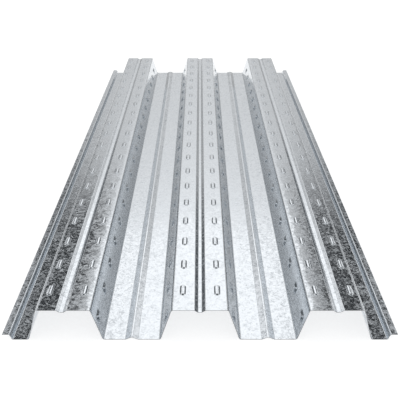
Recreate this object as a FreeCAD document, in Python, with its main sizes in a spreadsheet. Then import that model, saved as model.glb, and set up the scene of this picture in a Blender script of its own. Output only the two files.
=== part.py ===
"""Galvanised steel floor decking sheet, roll formed in one piece from a flat strip.

The section lies in the XZ plane and the sheet runs along Y. The origin is at the middle of the
underside, so the sheet rests on z = 0 with its valleys down. The section is drawn as one half, from
the centre of the middle crest out to the lap lip, and the finished half is mirrored.
"""
import FreeCAD, Part
import math
import os

import Sketcher

NODE = "decking_sheet"

# Driving dimensions in millimetres and degrees, measured on the upper face between fold lines
SIZES = [
    ("sheet_length", 2400, "length of the cut sheet"),
    ("sheet_thickness", 1.2, "steel with its zinc coat"),
    ("deck_depth", 76.2, "underside of a valley to the top of a crest"),
    ("rib_pitch", 304.8, "centre to centre of the crests"),
    ("crest_width", 127, "flat top of a middle crest, fold to fold"),
    ("web_run", 25.4, "sideways run of a sloping web"),
    ("edge_crest_half", 58, "outer half of an edge crest, from its groove to its fold"),
    ("edge_web_run", 20, "sideways run of the outermost web"),
    ("side_flange_width", 36, "narrow flat at each side of the sheet"),
    ("riser_lower_run", 2.4, "sideways run of the riser's steep lower leg"),
    ("riser_lower_rise", 6.6, "height of the lower leg"),
    ("riser_upper_run", 4, "sideways run of the riser's flatter upper leg"),
    ("riser_upper_rise", 6.2, "height of the upper leg"),
    ("lip_width", 15.6, "lap lip that overlaps the next sheet"),
    ("lip_drop", 1, "fall of the lip towards its cut edge"),
    ("bend_radius", 4.6, "inside radius of the crest and valley folds"),
    ("lip_radius", 2.2, "inside radius of the riser's folds"),
    ("groove_width", 24, "stiffening groove along the middle of a crest"),
    ("groove_floor", 8, "flat bottom of that groove"),
    ("groove_depth", 5, "depth of that groove"),
    ("valley_rib_width", 29, "stiffening rib along the middle of a valley"),
    ("valley_rib_top", 4, "flat top of that rib"),
    ("valley_rib_height", 5.6, "height of that rib"),
    ("stiffener_radius", 3, "inside radius of the groove and rib folds"),
    ("emboss_pitch", 125, "spacing of the embossments along the sheet"),
    ("emboss_end_clear", 30, "least plain sheet left at the far end"),
    ("slot_first", 86, "near end to the centre of the first raised slot"),
    ("slot_offset", 39.4, "centre of a crest to its row of raised slots"),
    ("slot_length", 45, "raised slot, end to end"),
    ("slot_width", 14, "raised slot, side to side"),
    ("slot_height", 3, "height of the slot above the crest"),
    ("slot_draft", 30, "lean of the slot's wall"),
    ("pad_first", 35, "near end to the centre of the first raised pad on a web"),
    ("pad_length", 36, "raised pad along the sheet"),
    ("pad_width", 20, "raised pad up the web"),
    ("pad_height", 3, "height of the pad above the web"),
    ("pad_draft", 45, "lean of the pad's four sides"),
]

# Legs of the half section in order from the centre: run outwards, rise, and the fold at the end
VALLEY_FLAT = ("(sizes.rib_pitch - sizes.crest_width - 2 * sizes.web_run - sizes.valley_rib_width) / 2", "0")
GROOVE_FLANK = "(sizes.groove_width - sizes.groove_floor) / 2"
RIB_FLANK = "(sizes.valley_rib_width - sizes.valley_rib_top) / 2"
CREST_FLAT = "(sizes.crest_width - sizes.groove_width) / 2"
WEB_RISE = "sizes.deck_depth - sizes.sheet_thickness"
LEGS = [
    ("sizes.groove_floor / 2", "0", "stiffener_radius"),
    (GROOVE_FLANK, "sizes.groove_depth", "stiffener_radius"),
    (CREST_FLAT, "0", "bend_radius"),
    ("sizes.web_run", "-(" + WEB_RISE + ")", "bend_radius"),
    VALLEY_FLAT + ("stiffener_radius",),
    (RIB_FLANK, "sizes.valley_rib_height", "stiffener_radius"),
    ("sizes.valley_rib_top", "0", "stiffener_radius"),
    (RIB_FLANK, "-sizes.valley_rib_height", "stiffener_radius"),
    VALLEY_FLAT + ("bend_radius",),
    ("sizes.web_run", WEB_RISE, "bend_radius"),
    (CREST_FLAT, "0", "stiffener_radius"),
    (GROOVE_FLANK, "-sizes.groove_depth", "stiffener_radius"),
    ("sizes.groove_floor", "0", "stiffener_radius"),
    (GROOVE_FLANK, "sizes.groove_depth", "stiffener_radius"),
    ("sizes.edge_crest_half - sizes.groove_width / 2", "0", "bend_radius"),
    ("sizes.edge_web_run", "-(" + WEB_RISE + ")", "bend_radius"),
    ("sizes.side_flange_width", "0", "lip_radius"),
    ("sizes.riser_lower_run", "sizes.riser_lower_rise", "lip_radius"),
    ("sizes.riser_upper_run", "sizes.riser_upper_rise", "lip_radius"),
    ("sizes.lip_width", "-sizes.lip_drop", None),
]

doc = FreeCAD.newDocument(NODE)


def make_sizes():
    """Write the driving dimensions to the document's spreadsheet."""
    sheet = doc.addObject("Spreadsheet::Sheet", "sizes")
    for row, (alias, value, note) in enumerate(SIZES, start=1):
        sheet.set(f"A{row}", note)
        sheet.set(f"B{row}", str(value))
        sheet.setAlias(f"B{row}", alias)
    doc.recompute()
    return sheet


def number(expression):
    """Value of an expression on the driving dimensions."""
    return float(sizes.evalExpression(expression))


def origin_feature(body, role):
    """Plane or axis of the body's origin with the given role."""
    return next(item for item in body.Origin.OriginFeatures if item.Role == role)


def bind(sketch, constraint, name, expression):
    """Add a dimension to the sketch and drive it by an expression."""
    index = sketch.addConstraint(constraint)
    sketch.renameConstraint(index, name)
    sketch.setExpression(f"Constraints.{name}", expression)


def upper_points():
    """Fold points of the half section on the sheet's upper face."""
    points = [(0.0, number("sizes.deck_depth - sizes.groove_depth"))]
    for run, rise, _ in LEGS:
        x, z = points[-1]
        points.append((x + number(run), z + number(rise)))
    return points


def lower_points(upper):
    """Fold points of the underside, one sheet thickness below the upper face."""
    thickness = number("sizes.sheet_thickness")
    angles = [math.atan2(z2 - z1, x2 - x1) for (x1, z1), (x2, z2) in zip(upper, upper[1:])]
    before = [0.0] + angles
    after = angles + [angles[-1]]
    lower = []
    for (x, z), turn_in, turn_out in zip(upper, before, after):
        middle = (turn_in + turn_out) / 2
        reach = thickness / math.cos((turn_out - turn_in) / 2)
        lower.append((x + reach * math.sin(middle), z - reach * math.cos(middle)))
    return lower


def draw_section(body, upper, lower):
    """Closed outline of the half section, with every leg driven by the spreadsheet."""
    sketch = body.newObject("Sketcher::SketchObject", "half_section")
    sketch.AttachmentSupport = [(origin_feature(body, "XZ_Plane"), "")]
    sketch.MapMode = "FlatFace"
    corners = [FreeCAD.Vector(x, z, 0) for x, z in upper + lower[::-1]]
    loop = list(zip(corners, corners[1:] + corners[:1]))
    sketch.addGeometry([Part.LineSegment(start, end) for start, end in loop])
    count = len(LEGS)
    joins = [Sketcher.Constraint("Coincident", i, 2, (i + 1) % len(loop), 1) for i in range(len(loop))]
    sketch.addConstraint(joins)
    sketch.addConstraint(Sketcher.Constraint("PointOnObject", 0, 1, -2))
    sketch.addConstraint(Sketcher.Constraint("Vertical", len(loop) - 1))
    sketch.addConstraint(Sketcher.Constraint("Perpendicular", count - 1, count))
    start_height = "sizes.deck_depth - sizes.groove_depth"
    height = Sketcher.Constraint("DistanceY", -1, 1, 0, 1, upper[0][1])
    bind(sketch, height, "groove_floor_height", start_height)
    for leg, (run, rise, _) in enumerate(LEGS):
        bind(sketch, Sketcher.Constraint("DistanceX", leg, 1, leg, 2, number(run)), f"run_{leg}", run)
        if rise == "0":
            sketch.addConstraint(Sketcher.Constraint("Horizontal", leg))
        elif number(rise) > 0:
            bind(sketch, Sketcher.Constraint("DistanceY", leg, 1, leg, 2, number(rise)), f"rise_{leg}", rise)
        else:
            fall = Sketcher.Constraint("DistanceY", leg, 2, leg, 1, -number(rise))
            bind(sketch, fall, f"rise_{leg}", f"-({rise})")
    for leg in range(count):
        under = 2 * count - leg
        sketch.addConstraint(Sketcher.Constraint("Parallel", leg, under))
        gap = Sketcher.Constraint("Distance", under, 2, leg, number("sizes.sheet_thickness"))
        bind(sketch, gap, f"thickness_{leg}", "sizes.sheet_thickness")
    return sketch


def pad_section(body, sketch):
    """Half sheet with sharp folds, its length centred on the origin."""
    pad = body.newObject("PartDesign::Pad", "sharp_half")
    pad.Profile = sketch
    pad.SideType = "Symmetric"
    pad.setExpression("Length", "sizes.sheet_length")
    doc.recompute()
    return pad


def edges_at(feature, points):
    """Names of the feature's long edges that pass through the given section points."""
    names = []
    for index, edge in enumerate(feature.Shape.Edges, start=1):
        start, end = edge.Vertexes[0].Point, edge.Vertexes[-1].Point
        along = math.hypot(start.x - end.x, start.z - end.z) < 1e-4
        if along and any(math.hypot(start.x - x, start.z - z) < 1e-4 for x, z in points):
            names.append(f"Edge{index}")
    return names


def round_folds(body, feature, upper, lower):
    """Round each fold: the inside radius on its hollow face, one thickness more on the other."""
    folds = {}
    for leg, (_, _, radius) in enumerate(LEGS[:-1]):
        (x1, z1), (x2, z2), (x3, z3) = upper[leg:leg + 3]
        convex = (x2 - x1) * (z3 - z2) < (z2 - z1) * (x3 - x2)
        outer, inner = (upper, lower) if convex else (lower, upper)
        folds.setdefault((radius, " + sizes.sheet_thickness"), []).append(outer[leg + 1])
        folds.setdefault((radius, ""), []).append(inner[leg + 1])
    for (radius, extra), points in folds.items():
        fillet = body.newObject("PartDesign::Fillet", f"{radius}_{'outside' if extra else 'inside'}")
        fillet.Base = (feature, edges_at(feature, points))
        fillet.setExpression("Radius", f"sizes.{radius}{extra}")
        doc.recompute()
        feature = fillet
    return feature


def mirror_section(body):
    """Complete the plain sheet by mirroring the half across its centre line."""
    whole = body.newObject("PartDesign::Mirrored", "plain_sheet")
    whole.TransformMode = "Whole shape"
    whole.MirrorPlane = (origin_feature(body, "YZ_Plane"), [""])
    whole.Refine = True
    body.Tip = whole
    doc.recompute()


def make_plain_sheet():
    """The sheet with its folds, grooves and ribs, before any embossment."""
    body = doc.addObject("PartDesign::Body", "rolled_section")
    upper = upper_points()
    lower = lower_points(upper)
    section = draw_section(body, upper, lower)
    sharp = pad_section(body, section)
    round_folds(body, sharp, upper, lower)
    mirror_section(body)
    return body


def slot_corners(inset):
    """Corners of a raised slot, with half a hexagon at each end, smaller all round by the inset."""
    radius = f"(sizes.slot_width / 2 - {inset})"
    straight = "(sizes.slot_length - sizes.slot_width) / 2"
    quarter = [(radius, straight), (f"{radius} / 2", f"{straight} + {radius} * cos(30)")]
    corners = []
    for side, end in ((1, 1), (-1, 1), (-1, -1), (1, -1)):
        ordered = quarter if side == end else quarter[::-1]
        corners += [(f"{side} * {x}", f"{end} * ({y})") for x, y in ordered]
    return corners


def pad_corners(inset):
    """Corners of a web's raised pad, smaller all round by the inset."""
    half_width = f"(sizes.pad_width / 2 - {inset})"
    half_length = f"(sizes.pad_length / 2 - {inset})"
    turns = ((1, 1), (-1, 1), (-1, -1), (1, -1))
    return [(f"{side} * {half_width}", f"{end} * {half_length}") for side, end in turns]


def draw_outline(sketch, corners):
    """Closed outline about the sketch's origin, with every corner driven by its expressions."""
    points = [FreeCAD.Vector(number(x), number(y), 0) for x, y in corners]
    loop = list(zip(points, points[1:] + points[:1]))
    sketch.addGeometry([Part.LineSegment(start, end) for start, end in loop])
    joins = [Sketcher.Constraint("Coincident", i, 2, (i + 1) % len(loop), 1) for i in range(len(loop))]
    sketch.addConstraint(joins)
    for corner, reaches in enumerate(corners):
        for kind, reach in zip(("DistanceX", "DistanceY"), reaches):
            value = number(reach)
            ends = (-1, 1, corner, 1) if value > 0 else (corner, 1, -1, 1)
            expression = reach if value > 0 else f"-({reach})"
            bind(sketch, Sketcher.Constraint(kind, *ends, abs(value)), f"{kind}_{corner}", expression)


def emboss_sketch(body, form, place, corners):
    """Outline of a column's first embossment, on the upper face or a thickness below it."""
    x, z, tilt = place
    sketch = body.newObject("Sketcher::SketchObject", f"{body.Label}_outline")
    sketch.AttachmentSupport = [(origin_feature(body, "XY_Plane"), "")]
    sketch.MapMode = "FlatFace"
    about_sheet = FreeCAD.Rotation(FreeCAD.Vector(0, 1, 0), 1)
    sketch.AttachmentOffset = FreeCAD.Placement(FreeCAD.Vector(), about_sheet)
    sketch.setExpression("AttachmentOffset.Base.x", x)
    sketch.setExpression("AttachmentOffset.Base.y", f"sizes.{form}_first - sizes.sheet_length / 2")
    sketch.setExpression("AttachmentOffset.Base.z", z)
    sketch.setExpression("AttachmentOffset.Rotation.Angle", tilt)
    draw_outline(sketch, corners)
    return sketch


def emboss_forms(name, form, place, corners):
    """One column of embossment forms with sloping walls, along the sheet and at both its sides."""
    body = doc.addObject("PartDesign::Body", name)
    body.Label = name
    sketch = emboss_sketch(body, form, place, corners)
    block = body.newObject("PartDesign::Pad", f"{name}_block")
    block.Profile = sketch
    block.setExpression("Length", f"sizes.{form}_height")
    doc.recompute()
    outward = sketch.Placement.Rotation.multVec(FreeCAD.Vector(0, 0, 1))
    facing = {f"Face{i}": face.normalAt(0, 0).dot(outward) for i, face in enumerate(block.Shape.Faces, start=1)}
    draft = body.newObject("PartDesign::Draft", f"{name}_draft")
    draft.Base = (block, [face for face, dot in facing.items() if abs(dot) < 0.5])
    draft.NeutralPlane = (block, [face for face, dot in facing.items() if dot < -0.5])
    draft.setExpression("Angle", f"sizes.{form}_draft")
    doc.recompute()
    draft.Reversed = draft.Shape.Volume > block.Shape.Volume
    row = body.newObject("PartDesign::LinearPattern", f"{name}_row")
    row.Direction = (origin_feature(body, "Y_Axis"), [""])
    row.Mode = "Spacing"
    row.setExpression("Offset", "sizes.emboss_pitch")
    room = f"sizes.sheet_length - sizes.{form}_first - sizes.{form}_length / 2 - sizes.emboss_end_clear"
    row.setExpression("Occurrences", f"floor(({room}) / sizes.emboss_pitch) + 1")
    sides = body.newObject("PartDesign::Mirrored", f"{name}_sides")
    sides.MirrorPlane = (origin_feature(body, "YZ_Plane"), [""])
    for pattern in (row, sides):
        pattern.TransformMode = "Whole shape"
        pattern.Refine = False
        body.Tip = pattern
        doc.recompute()
    return body


def emboss_columns():
    """Place of each column on the sheet's right half: x, height and tilt as expressions."""
    crest_top = "sizes.deck_depth"
    mid_web = "(sizes.deck_depth + sizes.sheet_thickness) / 2"
    web_x = "(sizes.crest_width + sizes.web_run) / 2"
    edge_web_x = "sizes.rib_pitch + sizes.edge_crest_half + sizes.edge_web_run / 2"
    slope = f"atan(({WEB_RISE}) / sizes.web_run)"
    edge_slope = f"atan(({WEB_RISE}) / sizes.edge_web_run)"
    return [
        ("middle_crest_slots", "slot", slot_corners, ("sizes.slot_offset", crest_top, "0")),
        ("edge_crest_inner_slots", "slot", slot_corners, ("sizes.rib_pitch - sizes.slot_offset", crest_top, "0")),
        ("edge_crest_outer_slots", "slot", slot_corners, ("sizes.rib_pitch + sizes.slot_offset", crest_top, "0")),
        ("middle_web_pads", "pad", pad_corners, (web_x, mid_web, slope)),
        ("inner_web_pads", "pad", pad_corners, (f"sizes.rib_pitch - {web_x}", mid_web, f"-{slope}")),
        ("outer_web_pads", "pad", pad_corners, (edge_web_x, mid_web, edge_slope)),
    ]


def below(place):
    """The same place one sheet thickness below the upper face."""
    x, z, tilt = place
    return (f"{x} - sizes.sheet_thickness * sin({tilt})", f"{z} - sizes.sheet_thickness * cos({tilt})", tilt)


def emboss(plain):
    """Press the slots and pads up out of the plain sheet, hollow from below."""
    raised, hollow = [], []
    for name, form, corners, place in emboss_columns():
        draft = f"sizes.{form}_draft"
        wall = f"sizes.sheet_thickness * (1 / cos({draft}) - tan({draft}))"
        raised.append(emboss_forms(name, form, place, corners("0")))
        hollow.append(emboss_forms(f"{name}_hollow", form, below(place), corners(wall)))
    raised_forms = doc.addObject("Part::Compound", "raised_forms")
    raised_forms.Links = raised
    hollow_forms = doc.addObject("Part::Compound", "hollow_forms")
    hollow_forms.Links = hollow
    bumped = doc.addObject("Part::Fuse", "bumped_sheet")
    bumped.Base, bumped.Tool, bumped.Refine = plain, raised_forms, False
    sheet = doc.addObject("Part::Cut", NODE)
    sheet.Base, sheet.Tool, sheet.Refine = bumped, hollow_forms, False
    sheet.Label = NODE
    doc.recompute()
    if not plain.Shape.Volume < sheet.Shape.Volume < bumped.Shape.Volume:
        raise RuntimeError("the embossments are not hollow from below")
    return sheet


def check_and_export(sheet):
    """Stop on a failed feature or an unsound solid, and otherwise write the sheet's file."""
    failed = [item.Name for item in doc.Objects if {"Invalid", "Error"} & set(item.State)]
    if failed:
        raise RuntimeError(f"features that failed: {failed}")
    shape = sheet.Shape
    if shape.isNull() or not shape.isValid() or len(shape.Solids) != 1:
        raise RuntimeError("the sheet is not one sound solid")
    box = shape.BoundBox
    print(f"{sheet.Label}: {box.XLength:.1f} x {box.YLength:.1f} x {box.ZLength:.1f} mm, {shape.Volume:.0f} mm3")
    os.makedirs("parts", exist_ok=True)
    shape.Solids[0].exportStep(f"parts/{sheet.Label}.step")


sizes = make_sizes()
check_and_export(emboss(make_plain_sheet()))
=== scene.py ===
"""Looks of a galvanised steel floor decking sheet, laid flat and seen along its length.

The sheet is one rolled piece, modelled here as its upper face and then thickened. The section lies in
the XZ plane, the sheet runs along Y, and lengths are in metres.
"""
import logging
import math
from collections.abc import Callable
from dataclasses import dataclass
from enum import Enum

import bmesh
import bpy
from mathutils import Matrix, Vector


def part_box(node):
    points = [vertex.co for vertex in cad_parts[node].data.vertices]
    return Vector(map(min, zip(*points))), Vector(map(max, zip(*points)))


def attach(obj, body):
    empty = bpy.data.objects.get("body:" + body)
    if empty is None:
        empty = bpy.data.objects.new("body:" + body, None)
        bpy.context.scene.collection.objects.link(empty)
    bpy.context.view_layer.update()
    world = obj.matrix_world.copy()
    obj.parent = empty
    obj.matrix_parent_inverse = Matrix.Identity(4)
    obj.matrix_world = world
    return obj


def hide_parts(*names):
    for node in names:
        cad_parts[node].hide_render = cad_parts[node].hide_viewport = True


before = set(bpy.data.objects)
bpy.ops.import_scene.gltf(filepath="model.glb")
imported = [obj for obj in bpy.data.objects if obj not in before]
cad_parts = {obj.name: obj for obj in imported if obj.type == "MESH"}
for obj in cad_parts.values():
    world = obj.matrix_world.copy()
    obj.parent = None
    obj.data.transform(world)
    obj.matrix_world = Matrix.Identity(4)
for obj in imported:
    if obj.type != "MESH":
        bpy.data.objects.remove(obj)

NODE = "decking_sheet"
BODY = "root"
# Points closer than this are one point, in metres
TOUCHING = 1e-5
# A face whose middle is closer than this to the place sought is the one, in metres
NEARLY_THERE = 1e-4
# Slopes of the two rings that round a fold, as shares of the slope beyond it
EASING = (0.25, 0.75)

Colour = tuple[float, float, float]
Tones = tuple[tuple[float, float], ...]

log = logging.getLogger("decking_sheet")


class Form(Enum):
    """What is pressed into a flat of the section."""

    PLAIN = "plain"
    SLOT = "slot"
    PAD = "pad"


class Flank(Enum):
    """How the flank of a raised form runs in from its foot."""

    EVEN = "the same width all round"
    HIPPED = "towards the middle, like a hipped roof"


class Part(Enum):
    """Which parts of an edited mesh are selected, by Blender's names for them."""

    CORNERS = "VERT"
    EDGES = "EDGE"
    FACES = "FACE"


@dataclass(frozen=True)
class Leg:
    """A leg of the half section between two fold lines, going outwards.

    run and rise are its width and height, radius is the inside radius of the fold at its end, form is
    what is pressed into it, and form_at is how far along the leg that form's centre lies.
    """

    run: float
    rise: float
    radius: float = 0.0
    form: Form = Form.PLAIN
    form_at: float = 0.0

    @property
    def heading(self) -> float:
        """Slope of the leg in radians."""
        return math.atan2(self.rise, self.run)

    @property
    def length(self) -> float:
        """Length of the leg from fold line to fold line."""
        return math.hypot(self.run, self.rise)

    @property
    def along(self) -> Vector:
        """Direction of the leg, outwards."""
        return Vector((math.cos(self.heading), 0, math.sin(self.heading)))

    @property
    def upward(self) -> Vector:
        """Direction square to the leg, out of the sheet's upper face."""
        return Vector((-math.sin(self.heading), 0, math.cos(self.heading)))


@dataclass(frozen=True)
class Flat:
    """The flat stretch of a leg that carries a form: where it starts, its width and where the form is."""

    leg: Leg
    start: Vector
    width: float
    form_at: float

    @property
    def middle(self) -> Vector:
        """Middle of the flat, in the section's plane."""
        return self.start + self.leg.along * (self.width / 2)


@dataclass(frozen=True)
class Relief:
    """A raised form with rounded corners, a flank all round and a slightly crowned top.

    corner is the radius of its outline's corners, which corners points go round, and first the place of
    its middle along a module. softness is the share of the flank's width that is rounded, half at its
    foot and half at its top, and crown the inset and rise of the rings of its top. The flanks at a
    hipped form's two ends are as wide as end_flank.
    """

    length: float
    width: float
    corner: float
    height: float
    flank: float
    first: float
    corners: int
    softness: float
    crown: tuple[tuple[float, float], ...] = ()
    kind: Flank = Flank.EVEN
    end_flank: float = 0.0

    def is_near(self, at: Vector, middle: Vector) -> bool:
        """Whether a point lies on the form with this middle."""
        across = abs(at.x - middle.x) < self.width / 2 + TOUCHING
        return across and abs(at.y - middle.y) < self.length / 2 + TOUCHING

    def steps(self) -> list[tuple[float, float]]:
        """Work out the rings of the form, from its foot to its top.

        Returns:
            The inset and the rise of each ring.
        """
        wall = self.height - sum(rise for _, rise in self.crown)
        round_inset = self.flank * self.softness / 4
        straight_inset = self.flank * (1 - self.softness)
        slope = wall / (straight_inset + 2 * round_inset)
        gentle, steep = ((round_inset, round_inset * slope * share) for share in EASING)
        return [gentle, steep, (straight_inset, straight_inset * slope), steep, gentle, *self.crown]

    def raise_top(self, middle: Vector) -> None:
        """Raise the selected foot of the form in edit mode, ring by ring.

        Args:
            middle: the middle of the foot.
        """
        half_width, half_length = self.width / 2, self.length / 2
        for inset, rise in self.steps():
            if self.kind is Flank.EVEN:
                bpy.ops.mesh.inset(thickness=inset, depth=rise)
                continue
            end_inset = inset * self.end_flank / self.flank
            shrink = ((half_width - inset) / half_width, (half_length - end_inset) / half_length, 1)
            half_width, half_length = half_width - inset, half_length - end_inset
            bpy.ops.mesh.extrude_region_move(TRANSFORM_OT_translate={"value": (0, 0, rise)})
            bpy.ops.transform.resize(value=shrink, center_override=middle)


def select_only(*objects: bpy.types.Object) -> None:
    """Select these objects alone and make the last one active.

    Args:
        objects: the objects to select.
    """
    bpy.ops.object.select_all(action="DESELECT")
    for item in objects:
        item.select_set(True)
        bpy.context.view_layer.objects.active = item


def pick(piece: bpy.types.Object, kind: Part, wanted: Callable[[Vector], bool]) -> None:
    """Select the parts of an edited mesh whose middle passes a test.

    Args:
        piece: the object in edit mode.
        kind: whether corners, edges or faces are selected.
        wanted: test of the middle point.
    """
    bpy.ops.mesh.select_mode(type=kind.value)
    bpy.ops.mesh.select_all(action="DESELECT")
    mesh = bmesh.from_edit_mesh(piece.data)
    for part in {Part.CORNERS: mesh.verts, Part.EDGES: mesh.edges, Part.FACES: mesh.faces}[kind]:
        corners = [part] if kind is Part.CORNERS else part.verts
        middle = sum((corner.co for corner in corners), Vector()) / len(corners)
        if wanted(middle):
            part.select_set(True)
    bmesh.update_edit_mesh(piece.data)


def add_plane(width: float, length: float, level: float = 0.0) -> bpy.types.Object:
    """Add a level plane in the first quadrant, with a corner at the origin.

    Args:
        width: its size along X.
        length: its size along Y.
        level: its height.

    Returns:
        The plane, with its size and place in its mesh.
    """
    bpy.ops.object.select_all(action="DESELECT")
    bpy.ops.mesh.primitive_plane_add(size=1, location=(width / 2, length / 2, level))
    plane = bpy.context.object
    plane.scale = (width, length, 1)
    bpy.ops.object.transform_apply(location=True, rotation=True, scale=True)
    return plane


def apply_modifier(piece: bpy.types.Object, kind: str, **settings: object) -> None:
    """Add a modifier to a piece and apply it.

    Args:
        piece: the object to change.
        kind: Blender's name for the modifier.
        settings: values for the modifier.
    """
    select_only(piece)
    modifier = piece.modifiers.new(kind.title(), kind)
    for name, value in settings.items():
        setattr(modifier, name, value)
    bpy.ops.object.modifier_apply(modifier=modifier.name)


@dataclass
class DeckSheet:
    """The rolled sheet: a wide crest in the middle and at each side, valleys between, and lap lips.

    The crests have a groove and the valleys a rib along their middle. crest_width, side_flange and the
    widths of the groove, its floor, the rib and its top lie between fold lines, edge_crest runs from
    the middle of the outer groove outwards, and riser and lip are the run and rise of the last legs.
    bend, small_bend and lip_bend are inside radii. module is the spacing of slots and pads, and
    near_plain the plain stretch before the first one.
    """

    thickness: float = 0.0012
    depth: float = 0.0762
    pitch: float = 0.3048
    crest_width: float = 0.127
    web_run: float = 0.0254
    edge_crest: float = 0.058
    edge_web_run: float = 0.020
    side_flange: float = 0.036
    groove_width: float = 0.024
    groove_floor: float = 0.008
    groove_depth: float = 0.005
    groove_slant: float = 0.001
    slant_run: float = 0.0096
    rib_width: float = 0.029
    rib_top: float = 0.004
    rib_height: float = 0.0056
    riser: tuple[tuple[float, float], ...] = ((0.0024, 0.0066), (0.004, 0.0062))
    lip: tuple[float, float] = (0.01557, -0.0001)
    bend: float = 0.0046
    small_bend: float = 0.003
    lip_bend: float = 0.0022
    bend_steps: int = 4
    slot_offset: float = 0.0394
    module: float = 0.125
    modules: int = 19
    near_plain: float = 0.010
    smooth_below: float = math.radians(62)
    slot: Relief = Relief(
        length=0.045, width=0.0145, corner=0.00725, height=0.003, flank=0.0034, first=0.076,
        corners=22, softness=0.3, crown=((0.0016, 0.00026), (0.0016, 0.00011)),
    )
    pad: Relief = Relief(
        length=0.043, width=0.025, corner=0.0085, height=0.0036, flank=0.0080, first=0.025,
        corners=20, softness=0.5, kind=Flank.HIPPED, end_flank=0.0145,
    )

    def legs(self) -> list[Leg]:
        """Lay down the half section, from the middle of the centre crest to the lip's edge.

        Returns:
            Its legs, going outwards.
        """
        web_rise = self.depth - self.thickness
        web = math.hypot(self.web_run, web_rise)
        edge_web = math.hypot(self.edge_web_run, web_rise)
        flank = (self.groove_width - self.groove_floor) / 2
        crest_flat = (self.crest_width - self.groove_width) / 2
        edge_flat = self.edge_crest - self.groove_width / 2
        rib_flank = (self.rib_width - self.rib_top) / 2
        valley_flat = (self.pitch - self.crest_width - 2 * self.web_run - self.rib_width) / 2
        slot_in = self.slot_offset - self.groove_width / 2
        slot_out = self.crest_width / 2 - self.slot_offset
        outer_flank = self.groove_width - flank - self.slant_run
        lower_riser, upper_riser = self.riser
        return [
            Leg(self.groove_floor / 2, 0, self.small_bend),
            Leg(flank, self.groove_depth, self.small_bend),
            Leg(crest_flat, 0, self.bend, Form.SLOT, slot_in),
            Leg(self.web_run, -web_rise, self.bend, Form.PAD, web / 2),
            Leg(valley_flat, 0, self.small_bend),
            Leg(rib_flank, self.rib_height, self.small_bend),
            Leg(self.rib_top, 0, self.small_bend),
            Leg(rib_flank, -self.rib_height, self.small_bend),
            Leg(valley_flat, 0, self.bend),
            Leg(self.web_run, web_rise, self.bend, Form.PAD, web / 2),
            Leg(crest_flat, 0, self.small_bend, Form.SLOT, slot_out),
            Leg(flank, -self.groove_depth, self.small_bend),
            Leg(self.slant_run, self.groove_slant, self.small_bend),
            Leg(outer_flank, self.groove_depth - self.groove_slant, self.small_bend),
            Leg(edge_flat, 0, self.bend, Form.SLOT, slot_in),
            Leg(self.edge_web_run, -web_rise, self.bend, Form.PAD, edge_web / 2),
            Leg(self.side_flange, 0, self.lip_bend),
            Leg(*lower_riser, self.lip_bend),
            Leg(*upper_riser, self.lip_bend),
            Leg(*self.lip),
        ]

    def fold(self, before: Leg, after: Leg) -> tuple[float, float, float]:
        """Shape of the fold between two legs on the sheet's upper face.

        Args:
            before: the leg that ends at the fold.
            after: the leg that starts there.

        Returns:
            The turn in radians, the radius, and how much flat the bend takes from each leg.
        """
        turn = after.heading - before.heading
        radius = before.radius if turn > 0 else before.radius + self.thickness
        return turn, radius, radius * math.tan(abs(turn) / 2)

    def walk(self) -> tuple[bpy.types.Object, list[Flat]]:
        """Roll the half section for one module, by extruding flats and spinning bends.

        Returns:
            The strip, and the flats that carry a form.
        """
        legs = self.legs()
        level = self.depth - self.groove_depth
        width = legs[0].length - self.fold(legs[0], legs[1])[2]
        strip = add_plane(width, self.module, level)
        bpy.ops.object.mode_set(mode="EDIT")
        pick(strip, Part.EDGES, lambda middle: middle.x > width - TOUCHING)
        at = Vector((width, 0, level))
        formed = []
        for before, after, beyond in zip(legs, legs[1:], legs[2:] + [None]):
            turn, radius, taken = self.fold(before, after)
            side = math.copysign(radius, turn)
            centre = at + before.upward * side
            bpy.ops.mesh.spin(steps=self.bend_steps, angle=turn, center=centre, axis=(0, 1, 0))
            at = centre - after.upward * side
            given = self.fold(after, beyond)[2] if beyond else 0.0
            flat = after.length - taken - given
            if after.form is not Form.PLAIN:
                formed.append(Flat(after, at.copy(), flat, after.form_at - taken))
            bpy.ops.mesh.extrude_region_move(TRANSFORM_OT_translate={"value": after.along * flat})
            at = at + after.along * flat
        bpy.ops.object.mode_set(mode="OBJECT")
        return strip, formed

    def outline(self, piece: bpy.types.Object, relief: Relief, middle: Vector) -> None:
        """Turn a plain panel in edit mode into a frame around the rounded outline of a form.

        Args:
            piece: the panel.
            relief: the form.
            middle: the form's middle on the panel.
        """
        bpy.ops.mesh.select_all(action="SELECT")
        bpy.ops.mesh.delete(type="ONLY_FACE")
        pick(piece, Part.EDGES, lambda at: abs(at.y - self.module / 2) > self.module / 2 - TOUCHING)
        bpy.ops.mesh.subdivide(number_cuts=relief.corners // 2 - 2)
        bpy.ops.mesh.select_all(action="DESELECT")
        half_step = math.pi / relief.corners
        bpy.ops.mesh.primitive_circle_add(
            vertices=relief.corners, radius=relief.corner, location=middle, rotation=(0, 0, half_step)
        )
        for axis, half in ((0, relief.width / 2), (1, relief.length / 2)):
            for side in (1, -1):
                pick(
                    piece, Part.CORNERS,
                    lambda at: relief.is_near(at, middle) and (at - middle)[axis] * side > 0,
                )
                offset = Vector()
                offset[axis] = side * (half - relief.corner)
                bpy.ops.transform.translate(value=offset)
        bpy.ops.mesh.select_all(action="SELECT")
        bpy.ops.mesh.bridge_edge_loops()

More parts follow.
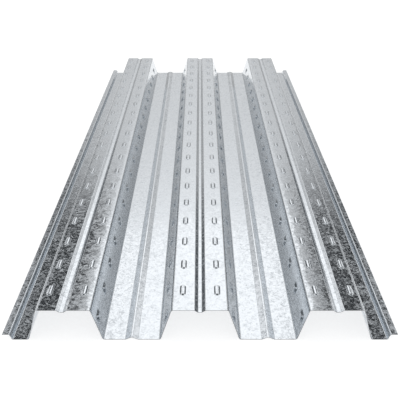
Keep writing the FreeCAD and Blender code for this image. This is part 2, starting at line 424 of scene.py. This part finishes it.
    def panel(self, flat: Flat) -> bpy.types.Object:
        """Model one module of a flat with its form, lying level, and tilt it into its leg.

        Args:
            flat: the flat that carries the form.

        Returns:
            The panel.
        """
        relief = self.slot if flat.leg.form is Form.SLOT else self.pad
        middle = Vector((flat.form_at, relief.first, 0))
        piece = add_plane(flat.width, self.module)
        bpy.ops.object.mode_set(mode="EDIT")
        self.outline(piece, relief, middle)
        pick(piece, Part.EDGES, lambda at: relief.is_near(at, middle))
        bpy.ops.mesh.edge_face_add()
        bpy.ops.mesh.select_all(action="SELECT")
        bpy.ops.mesh.normals_make_consistent(inside=False)
        if bmesh.from_edit_mesh(piece.data).faces[0].normal.z < 0:
            bpy.ops.mesh.flip_normals()
        pick(piece, Part.FACES, lambda at: (at - middle).length < TOUCHING)
        relief.raise_top(middle)
        bpy.ops.object.mode_set(mode="OBJECT")
        piece.rotation_euler = (0, -flat.leg.heading, 0)
        piece.location = flat.start
        bpy.ops.object.transform_apply(location=True, rotation=True, scale=True)
        return piece

    def clear_flats(self, strip: bpy.types.Object, formed: list[Flat]) -> None:
        """Take the plain faces out of the strip where the panels go.

        Args:
            strip: the walked half section.
            formed: the flats that carry a form.
        """
        centres = [flat.middle + Vector((0, self.module / 2, 0)) for flat in formed]
        select_only(strip)
        bpy.ops.object.mode_set(mode="EDIT")
        pick(strip, Part.FACES, lambda at: any((at - centre).length < NEARLY_THERE for centre in centres))
        bpy.ops.mesh.delete(type="FACE")
        bpy.ops.object.mode_set(mode="OBJECT")

    def lay_out(self, strip: bpy.types.Object) -> None:
        """Mirror and repeat the half module, and run both ends out plain to the cut length.

        Args:
            strip: the joined half module.
        """
        apply_modifier(strip, "MIRROR", use_axis=(True, False, False), use_mirror_merge=True)
        apply_modifier(
            strip, "ARRAY", count=self.modules, use_relative_offset=False, use_constant_offset=True,
            constant_offset_displace=(0, self.module, 0), use_merge_vertices=True, merge_threshold=TOUCHING,
        )
        low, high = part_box(NODE)
        near = low.y + self.near_plain
        far = near + self.modules * self.module
        strip.location.y = near
        bpy.ops.object.transform_apply(location=True, rotation=True, scale=True)
        bpy.ops.object.mode_set(mode="EDIT")
        bpy.ops.mesh.select_all(action="SELECT")
        bpy.ops.mesh.remove_doubles(threshold=TOUCHING)
        for end, target in ((near, low.y), (far, high.y)):
            pick(strip, Part.EDGES, lambda at: abs(at.y - end) < TOUCHING)
            bpy.ops.mesh.extrude_region_move(TRANSFORM_OT_translate={"value": (0, target - end, 0)})
        bpy.ops.mesh.select_all(action="SELECT")
        bpy.ops.mesh.normals_make_consistent(inside=False)
        bpy.ops.object.mode_set(mode="OBJECT")
        if sum(face.normal.z * face.area for face in strip.data.polygons) < 0:
            strip.data.flip_normals()

    def thicken(self, strip: bpy.types.Object) -> None:
        """Give the sheet its finishes, its thickness and smooth bends.

        Args:
            strip: the whole upper face.
        """
        strip.data.materials.clear()
        for finish in (ZincFinish(), CutEdge()):
            strip.data.materials.append(finish.build())
        apply_modifier(
            strip, "SOLIDIFY", thickness=self.thickness, offset=-1, use_even_offset=True,
            use_quality_normals=True, material_offset_rim=1,
        )
        bpy.ops.object.shade_smooth_by_angle(angle=self.smooth_below)
        apply_modifier(strip, "WEIGHTED_NORMAL", keep_sharp=True)

    def build(self) -> bpy.types.Object:
        """Make the whole sheet at its place.

        Returns:
            The finished piece.
        """
        strip, formed = self.walk()
        self.clear_flats(strip, formed)
        select_only(*[self.panel(flat) for flat in formed], strip)
        bpy.ops.object.join()
        self.lay_out(strip)
        self.thicken(strip)
        strip.name = strip.data.name = "rolled_sheet"
        return strip


class Shader:
    """A node tree that is written as nested calls."""

    def __init__(self, tree: bpy.types.NodeTree) -> None:
        """Start from an emptied tree.

        Args:
            tree: the tree of a material or of the world.
        """
        self.tree = tree
        tree.nodes.clear()

    @classmethod
    def of_material(cls, name: str) -> tuple["Shader", bpy.types.Material]:
        """Start a new material.

        Args:
            name: the material's name.

        Returns:
            The shader of the material, and the material.
        """
        made = bpy.data.materials.new(name)
        made.use_nodes = True
        return cls(made.node_tree), made

    def add(
        self, kind: str, inputs: dict[str | int, object] | None = None, **settings: object
    ) -> bpy.types.Node:
        """Add a node.

        Args:
            kind: the node's type, without the words ShaderNode.
            inputs: a value or an output socket for each named or numbered input.
            settings: the node's own options.

        Returns:
            The node.
        """
        node = self.tree.nodes.new("ShaderNode" + kind)
        for name, value in settings.items():
            setattr(node, name, value)
        for name, value in (inputs or {}).items():
            if isinstance(value, bpy.types.NodeSocket):
                self.tree.links.new(value, node.inputs[name])
            else:
                node.inputs[name].default_value = value
        return node

    def math(self, operation: str, *values: object) -> bpy.types.NodeSocket:
        """Output of a Math node on these values."""
        return self.add("Math", dict(enumerate(values)), operation=operation).outputs[0]

    def vector(self, operation: str, *values: object) -> bpy.types.NodeSocket:
        """Output of a Vector Math node on these vectors."""
        return self.add("VectorMath", dict(enumerate(values)), operation=operation).outputs[0]

    def dot(self, one: object, other: object) -> bpy.types.NodeSocket:
        """Dot product of two vectors."""
        return self.add("VectorMath", {0: one, 1: other}, operation="DOT_PRODUCT").outputs["Value"]

    def blend(self, share: object, one: object, other: object) -> bpy.types.NodeSocket:
        """Mix of two colours, all the first one where share is zero."""
        return self.add("Mix", {0: share, 6: one, 7: other}, data_type="RGBA").outputs[2]

    def swing(self, vector: bpy.types.NodeSocket, reach: float) -> bpy.types.NodeSocket:
        """A colour from 0 to 1 turned into a vector that swings about zero, with this much reach."""
        centred = self.vector("SUBTRACT", vector, (0.5, 0.5, 0.5))
        return self.vector("MULTIPLY", centred, (reach, reach, reach))

    def mapped(
        self, value: object, reads: tuple[float, float], gives: tuple[float, float] = (0, 1)
    ) -> bpy.types.NodeSocket:
        """Output of a Map Range node from one range to another, held at its ends."""
        inputs = dict(zip(("Value", "From Min", "From Max", "To Min", "To Max"), (value, *reads, *gives)))
        return self.add("MapRange", inputs, clamp=True).outputs[0]

    def noise(self, where: bpy.types.NodeSocket, size: float, detail: float = 2.0) -> bpy.types.Node:
        """Noise node whose features are about size metres across."""
        return self.add("TexNoise", {"Vector": where, "Scale": 1 / size, "Detail": detail})

    def cells(self, where: bpy.types.NodeSocket, size: float) -> bpy.types.NodeSocket:
        """One random colour for each cell about size metres across."""
        return self.add("TexVoronoi", {"Vector": where, "Scale": 1 / size}).outputs["Color"]

    def part(self, colour: bpy.types.NodeSocket, channel: int) -> bpy.types.NodeSocket:
        """One channel of a colour or vector."""
        return self.add("SeparateColor", {0: colour}).outputs[channel]


@dataclass(frozen=True)
class ZincFinish:
    """Hot-dip zinc coat: small ragged crystals that differ in gloss and tone and lean a little.

    crystal and grain are the sizes of large and small crystals, ragged is the size and reach of the
    waver of their outlines, and lean and grain_lean are how far their faces swing. feather is the width
    of the fine lines across a crystal, patch the size of faint cloudy areas, and rub the size across
    and along the sheet of the faint lines left by the rolls. The shares are what these add to the
    dullness of a spot, frosted is the dullness from which and up to which it is frosted, and gloss the
    roughness there. The webs, whose normals rise less than web_slope, carry the roll lines and are at
    least as rough as rubbed_gloss. Their base colour is a painted tone, painted_web_tone times the dark
    tone, picked by their slope to stand in for how the webs reflect light, not a real change in the
    zinc.
    """

    dark: Colour = (0.605, 0.640, 0.675)
    light: Colour = (0.660, 0.688, 0.718)
    crystal: float = 0.0095
    grain: float = 0.0042
    ragged: tuple[float, float] = (0.0042, 0.0075)
    lean: float = 0.016
    grain_lean: float = 0.014
    feather: float = 0.0009
    patch: float = 0.16
    rub: tuple[float, float] = (0.0035, 0.35)
    detail: float = 3
    crystal_share: float = 0.32
    grain_share: float = 0.6
    feather_share: float = 0.06
    patch_share: float = 0.16
    frosted: tuple[float, float] = (0.1, 0.9)
    gloss: tuple[float, float] = (0.07, 0.30)
    gloss_curve: float = 1.7
    rub_noise: tuple[float, float] = (0.3, 0.7)
    rub_strength: tuple[float, float] = (0.72, 1)
    rubbed_gloss: float = 0.16
    # Painted tone: the webs' even base colour as a share of the dark tone, standing in for how they reflect
    # light
    painted_web_tone: float = 1.08
    web_slope: tuple[float, float] = (0.45, 0.75)

    def build(self) -> bpy.types.Material:
        """Make the material.

        Returns:
            The material.
        """
        art, made = Shader.of_material("zinc_coat")
        where = art.add("TexCoord").outputs["Object"]
        face = art.add("NewGeometry").outputs["Normal"]
        size, reach = self.ragged
        waver = art.noise(where, size, self.detail).outputs["Color"]
        bent = art.vector("ADD", where, art.swing(waver, reach))
        crystals = art.cells(bent, self.crystal)
        grains = art.cells(bent, self.grain)
        leaning = art.vector("ADD", art.swing(crystals, self.lean), art.swing(grains, self.grain_lean))
        dull = self.dullness(art, where, crystals, grains)
        # Painted tone: steep faces (the webs) get one even base colour that stands in for how they reflect
        # light; only the roll lines through it are real wear
        on_web = art.mapped(art.math("ABSOLUTE", art.part(face, 2)), self.web_slope, (1, 0))
        painted_web_tone_with_roll_lines = art.math("MULTIPLY", on_web, self.rubs(art, where))
        frost = art.math("POWER", art.mapped(dull, self.frosted), self.gloss_curve)
        worn_gloss = art.math("MULTIPLY", on_web, self.rubbed_gloss)
        tone = art.blend(dull, (*self.light, 1), (*self.dark, 1))
        painted_web_colour = tuple(channel * self.painted_web_tone for channel in self.dark)
        coat = {
            "Base Color": art.blend(painted_web_tone_with_roll_lines, tone, (*painted_web_colour, 1)),
            "Metallic": 1.0,
            "Roughness": art.math("MAXIMUM", art.mapped(frost, (0, 1), self.gloss), worn_gloss),
            "Normal": art.vector("NORMALIZE", art.vector("ADD", face, leaning)),
        }
        art.add("OutputMaterial", {0: art.add("BsdfPrincipled", coat).outputs[0]})
        return made

    def dullness(
        self, art: Shader, where: bpy.types.NodeSocket, crystals: bpy.types.NodeSocket,
        grains: bpy.types.NodeSocket,
    ) -> bpy.types.NodeSocket:
        """How dull each spot is, from 0 for a mirror-bright crystal to 1 for a frosted one.

        Args:
            art: the shader.
            where: the place on the sheet.
            crystals: a random colour for each large crystal.
            grains: a random colour for each small crystal.

        Returns:
            The dullness.
        """
        across = art.dot(where, art.swing(crystals, 2))
        lines = art.math("SINE", art.math("DIVIDE", across, self.feather / math.tau))
        clouds = art.noise(where, self.patch).outputs[0]
        small = art.math("MULTIPLY", art.part(grains, 1), self.grain_share)
        whole = art.math("MULTIPLY_ADD", art.part(crystals, 0), self.crystal_share, small)
        cloudy = art.math("MULTIPLY", clouds, self.patch_share)
        return art.math("ADD", whole, art.math("MULTIPLY_ADD", lines, self.feather_share, cloudy))

    def rubs(self, art: Shader, where: bpy.types.NodeSocket) -> bpy.types.NodeSocket:
        """Faint lines along the sheet where the rolls have rubbed it.

        Args:
            art: the shader.
            where: the place on the sheet.

        Returns:
            Their strength.
        """
        across, along = self.rub
        stretched = art.vector("MULTIPLY", where, (1 / across, 1 / along, 1 / across))
        return art.mapped(art.noise(stretched, 1, self.detail).outputs[0], self.rub_noise, self.rub_strength)


@dataclass(frozen=True)
class CutEdge:
    """Bare sheared steel at the cut ends and along the lips."""

    dark: Colour = (0.20, 0.205, 0.215)
    light: Colour = (0.36, 0.37, 0.385)
    streak: float = 0.002
    roughness: float = 0.45

    def build(self) -> bpy.types.Material:
        """Make the material.

        Returns:
            The material.
        """
        art, made = Shader.of_material("sheared_edge")
        where = art.add("TexCoord").outputs["Object"]
        tone = art.blend(art.noise(where, self.streak).outputs[0], (*self.dark, 1), (*self.light, 1))
        steel = art.add("BsdfPrincipled", {"Base Color": tone, "Metallic": 1.0, "Roughness": self.roughness})
        art.add("OutputMaterial", {0: steel.outputs[0]})
        return made


@dataclass(frozen=True)
class Board:
    """A glowing card of the studio that only shows in the metal.

    spread gives the places of its two sides across the sheet, and reach those along it. level is its
    height, twice over, or for an upright board its lower and upper edge. tones are pairs of a place along
    the sheet and the glow there, which changes evenly between them, or one pair for an even board. Tones
    below shadow have the colour shade, and the rest are white.
    """

    name: str
    spread: tuple[float, float]
    reach: tuple[float, float]
    level: tuple[float, float]
    tones: Tones
    shadow: float = 0.2
    shade: Colour = (0.91, 0.985, 1.04)

    def stand(self) -> None:
        """Add the board to the scene, where only mirror-like surfaces see it."""
        bpy.ops.object.select_all(action="DESELECT")
        bpy.ops.mesh.primitive_plane_add(size=1)
        card = bpy.context.object
        card.name = self.name
        ends = (self.spread, self.reach, self.level)
        card.location = [(low + high) / 2 for low, high in ends]
        width, length, height = (abs(high - low) for low, high in ends)
        if height:
            card.rotation_euler = (math.pi / 2, 0, 0) if width else (0, math.pi / 2, 0)
            card.scale = (width, height, 1) if width else (height, length, 1)
        else:
            card.scale = (width, length, 1)
        card.visible_camera = card.visible_diffuse = card.visible_shadow = False
        art, made = Shader.of_material(self.name)
        art.add("OutputMaterial", {0: art.add("Emission", self.glow(art)).outputs[0]})
        card.data.materials.append(made)

    def colour(self, tone: float, brightest: float) -> tuple[float, float, float, float]:
        """Colour of a tone, as a share of the brightest one."""
        shade = self.shade if tone < self.shadow else (1, 1, 1)
        return (*(tone / brightest * channel for channel in shade), 1)

    def glow(self, art: Shader) -> dict[str, object]:
        """Colour and strength of the board's glow.

        Args:
            art: the board's shader.

        Returns:
            Plain values for an even board, or the output of a colour ramp that follows its tones.
        """
        brightest = max(tone for _, tone in self.tones)
        if len(self.tones) == 1:
            return {"Color": self.colour(brightest, brightest), "Strength": brightest}
        start, finish = self.tones[0][0], self.tones[-1][0]
        along = art.part(art.add("NewGeometry").outputs["Position"], 1)
        ramp = art.add("ValToRGB", {0: art.mapped(along, (start, finish))})
        stops = ramp.color_ramp.elements
        for place, _ in self.tones[1:-1]:
            stops.new((place - start) / (finish - start))
        for stop, (_, tone) in zip(stops, self.tones):
            stop.color = self.colour(tone, brightest)
        return {"Color": ramp.outputs[0], "Strength": brightest}


def mirrored(tones: Tones) -> Tones:
    """The same tones on the other side of the middle, in order along the sheet."""
    return tuple((-place, tone) for place, tone in reversed(tones))


@dataclass
class Studio:
    """White floor and background, a room of soft boards around the sheet, lamps, and the camera.

    The sheet lies along Y in the middle of the room, whose ceiling is at the height ceiling and whose
    ends are room_end away. The ceiling is bright as far out as lamp_edge. Beyond that its strips end at
    fringe_edge, card_edge, rim_edge, lap_edge, bank_middle, bank_edge and dim_edge. The dark card shows
    in the side crests, the rim in the lap lips, and the banks in the webs. Upright boards stand at the
    sides, ends and corners. Their heights are the edges between them, from the foot up, and their tones
    go in the same order, with the upper corner's outer half last. The lamps hang under the bright
    strips, and the camera stands camera_back before the sheet's near end.
    """

    focal_px: float = 762
    picture_px: float = 400
    sensor: float = 36
    camera_back: float = 1.434
    camera_height: float = 0.968
    camera_down: float = 23.64
    ceiling: float = 3.0
    room_end: float = 14.0
    lamp_edge: float = 0.99
    fringe_edge: float = 1.16
    card_edge: float = 1.72
    rim_edge: float = 1.87
    lap_edge: float = 2.1
    bank_middle: float = 2.9
    bank_edge: float = 3.8
    dim_edge: float = 9.0
    side_at: float = 4.2
    side_reach: float = 2.8
    side_heights: tuple[float, float, float] = (0, 1.3, 2.9)
    side_tones: tuple[float, float] = (0.6, 0.10)
    wing_at: float = 3.2
    wing_top: float = 2.1
    wing_tones: Tones = ((3.6, 0.12), (6.9, 0.13), (7.9, 0.36), (9.2, 0.6))
    end_edge: float = 2.2
    end_heights: tuple[float, float, float] = (0, 2.2, 3)
    end_tones: tuple[float, float] = (0.15, 0.8)
    corner_heights: tuple[float, float, float] = (0, 1.2, 3)
    corner_tones: tuple[float, float, float] = (0.4, 0.85, 0.48)
    lamp_reach: tuple[float, float] = (2.4, 5.4)
    back_lamp_reach: tuple[float, float] = (-6.5, -4.4)
    bank_reach: float = 6.0
    lamp_glow: float = 0.25
    bank_glow: float = 0.30
    soft_light: float = 0.75
    white: float = 1.0
    floor_size: float = 80
    floor_drop: float = 0.0003
    floor_grey: Colour = (0.5, 0.5, 0.5)
    floor_glow: float = 0.7

    def seen(self, art: Shader) -> bpy.types.NodeSocket:
        """Tell the rays that show the background from those that light the sheet.

        Args:
            art: the shader of the background.

        Returns:
            One for a camera, glossy or transmission ray, and zero for any other.
        """
        rays = art.add("LightPath").outputs
        both = art.math("MAXIMUM", rays["Is Camera Ray"], rays["Is Glossy Ray"])
        return art.math("MAXIMUM", both, rays["Is Transmission Ray"])

    def world(self) -> None:
        """White background with plain soft light."""
        world = bpy.data.worlds.new("studio")
        bpy.context.scene.world = world
        world.use_nodes = True
        art = Shader(world.node_tree)
        level = art.mapped(self.seen(art), (0, 1), (self.soft_light, self.white))
        sky = art.add("Background", {"Color": (1, 1, 1, 1), "Strength": level})
        art.add("OutputWorld", {0: sky.outputs[0]})

    def floor(self) -> None:
        """White floor that keeps the sheet's shadow."""
        bpy.ops.object.select_all(action="DESELECT")
        bpy.ops.mesh.primitive_plane_add(size=self.floor_size, location=(0, 0, -self.floor_drop))
        ground = bpy.context.object
        ground.name = "floor"
        art, made = Shader.of_material("white_floor")
        matt = art.add("BsdfDiffuse", {"Color": (*self.floor_grey, 1)})
        glow = art.add("Emission", {"Strength": art.math("MULTIPLY", self.seen(art), self.floor_glow)})
        both = art.add("AddShader", {0: matt.outputs[0], 1: glow.outputs[0]})
        art.add("OutputMaterial", {0: both.outputs[0]})
        ground.data.materials.append(made)

    def middle_strip(self) -> Board:
        """Lay out the ceiling's bright middle, with a dark patch that shows in the slots' near ends.

        Returns:
            Its board.
        """
        end = self.room_end
        far = ((5.2, 1.2), (7, 1.0), (10, 0.86), (end, 0.86))
        near = ((-4.4, 1.15), (-4.1, 0.1), (-2.0, 0.1), (-1.4, 1.15), (1.0, 0.95), (2.8, 1.2))
        spread = (-self.lamp_edge, self.lamp_edge)
        return Board("middle", spread, (-end, end), (self.ceiling,) * 2, (*mirrored(far), *near, *far))

    def side_strips(self, side: int) -> list[Board]:
        """Lay out the ceiling's strips on one side, each the same both ways along the sheet.

        Args:
            side: -1 for the left and 1 for the right.

        Returns:
            Their boards, going outwards.
        """
        end = self.room_end
        strips = [
            ("fringe", self.fringe_edge, ((5.5, 0.6), (8, 0.7), (end, 0.76))),
            ("card", self.card_edge, ((5.3, 0.045), (6.4, 0.4), (7.6, 0.72), (10, 0.76), (end, 0.74))),
            ("rim", self.rim_edge, ((5.3, 0.045), (7.3, 0.08), (9.1, 0.22), (12, 0.5), (end, 0.65))),
            ("lap", self.lap_edge, ((4.6, 0.95), (6, 0.3), (7.5, 0.2), (9, 0.6), (11, 0.72), (end, 0.72))),
            ("bank", self.bank_middle, ((5, 0.9), (9, 0.75), (end, 0.75))),
            ("outer_bank", self.bank_edge, ((5, 0.9), (8.5, 0.75), (10.2, 0.48), (end, 0.42))),
            ("dim", self.dim_edge, ((1, 0.3), (end, 0.3))),
        ]
        boards, inner = [], self.lamp_edge
        for name, outer, tones in strips:
            spread, both = (side * inner, side * outer), (*mirrored(tones), *tones)
            boards.append(Board(f"{name}_{side}", spread, (-end, end), (self.ceiling,) * 2, both))
            inner = outer
        return boards

    def side_walls(self, side: int) -> list[Board]:
        """Stand the upright boards on one side of the room and in its two corners there.

        Args:
            side: -1 for the left and 1 for the right.

        Returns:
            Their boards.
        """
        wall, reach = (side * self.side_at,) * 2, (-self.side_reach, self.side_reach)
        foot, joint, top = self.side_heights
        low, high = self.side_tones
        boards = [
            Board(f"low_{side}", wall, reach, (foot, joint), ((0, low),)),
            Board(f"high_{side}", wall, reach, (joint, top), ((0, high),)),
        ]
        inmost, halfway, outmost = (side * edge for edge in (self.end_edge, self.bank_middle, self.dim_edge))
        foot, joint, top = self.corner_heights
        low, high, dim = self.corner_tones
        for way in (-1, 1):
            tones = self.wing_tones if way > 0 else mirrored(self.wing_tones)
            reach = (way * self.wing_tones[0][0], way * self.wing_tones[-1][0])
            end = (way * self.room_end,) * 2
            boards += [
                Board(f"wing_{side}_{way}", (side * self.wing_at,) * 2, reach, (foot, self.wing_top), tones),
                Board(f"far_low_{side}_{way}", (inmost, outmost), end, (foot, joint), ((0, low),)),
                Board(f"far_high_{side}_{way}", (inmost, halfway), end, (joint, top), ((0, high),)),
                Board(f"far_outer_{side}_{way}", (halfway, outmost), end, (joint, top), ((0, dim),)),
            ]
        return boards

    def end_walls(self) -> list[Board]:
        """Stand the boards in the middle of the room's two ends.

        Returns:
            Their boards.
        """
        foot, joint, top = self.end_heights
        low, high = self.end_tones
        spread = (-self.end_edge, self.end_edge)
        boards = []
        for way in (-1, 1):
            end = (way * self.room_end,) * 2
            boards += [
                Board(f"end_low_{way}", spread, end, (foot, joint), ((0, low),)),
                Board(f"end_high_{way}", spread, end, (joint, top), ((0, high),)),
            ]
        return boards

    def boards(self) -> None:
        """Put all the boards of the room in place."""
        found = [self.middle_strip()]
        for side in (-1, 1):
            found += [*self.side_strips(side), *self.side_walls(side)]
        for board in [*found, *self.end_walls()]:
            board.stand()

    def lamps(self) -> None:
        """Long soft lamps under the ceiling's bright strips."""
        middle, bank = (-self.lamp_edge, self.lamp_edge), (-self.bank_reach, self.bank_reach)
        rows = [
            ("front_lamp", middle, self.lamp_reach, self.lamp_glow),
            ("back_lamp", middle, self.back_lamp_reach, self.lamp_glow),
            ("left_lamp", (-self.bank_edge, -self.lap_edge), bank, self.bank_glow),
            ("right_lamp", (self.lap_edge, self.bank_edge), bank, self.bank_glow),
        ]
        for name, spread, reach, glow in rows:
            lamp = bpy.data.lights.new(name, "AREA")
            lamp.shape = "RECTANGLE"
            lamp.size, lamp.size_y = spread[1] - spread[0], reach[1] - reach[0]
            lamp.energy = math.pi * glow * lamp.size * lamp.size_y
            holder = bpy.data.objects.new(name, lamp)
            holder.location = (sum(spread) / 2, sum(reach) / 2, self.ceiling - TOUCHING)
            bpy.context.collection.objects.link(holder)

    def camera(self) -> None:
        """Camera at the photograph's viewing angle."""
        low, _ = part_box(NODE)
        made = bpy.data.cameras.new("camera")
        made.sensor_width = self.sensor
        made.lens = self.sensor * self.focal_px / self.picture_px
        holder = bpy.data.objects.new("camera", made)
        holder.location = (0, low.y - self.camera_back, self.camera_height)
        holder.rotation_euler = (math.radians(90 - self.camera_down), 0, 0)
        bpy.context.collection.objects.link(holder)
        bpy.context.scene.camera = holder

    def build(self) -> None:
        """Set up the background, floor, boards, lamps and camera."""
        bpy.context.scene.view_settings.view_transform = "Standard"
        self.world()
        self.floor()
        self.boards()
        self.lamps()
        self.camera()


def main() -> None:
    """Build the sheet and the stage, and report each piece."""
    logging.basicConfig(level=logging.INFO, format="%(name)s: %(message)s")
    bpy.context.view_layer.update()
    sheet = DeckSheet().build()
    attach(sheet, BODY)
    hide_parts(NODE)
    log.info("%s: %d faces", sheet.name, len(sheet.data.polygons))
    Studio().build()


if __name__ == "__main__":
    main()
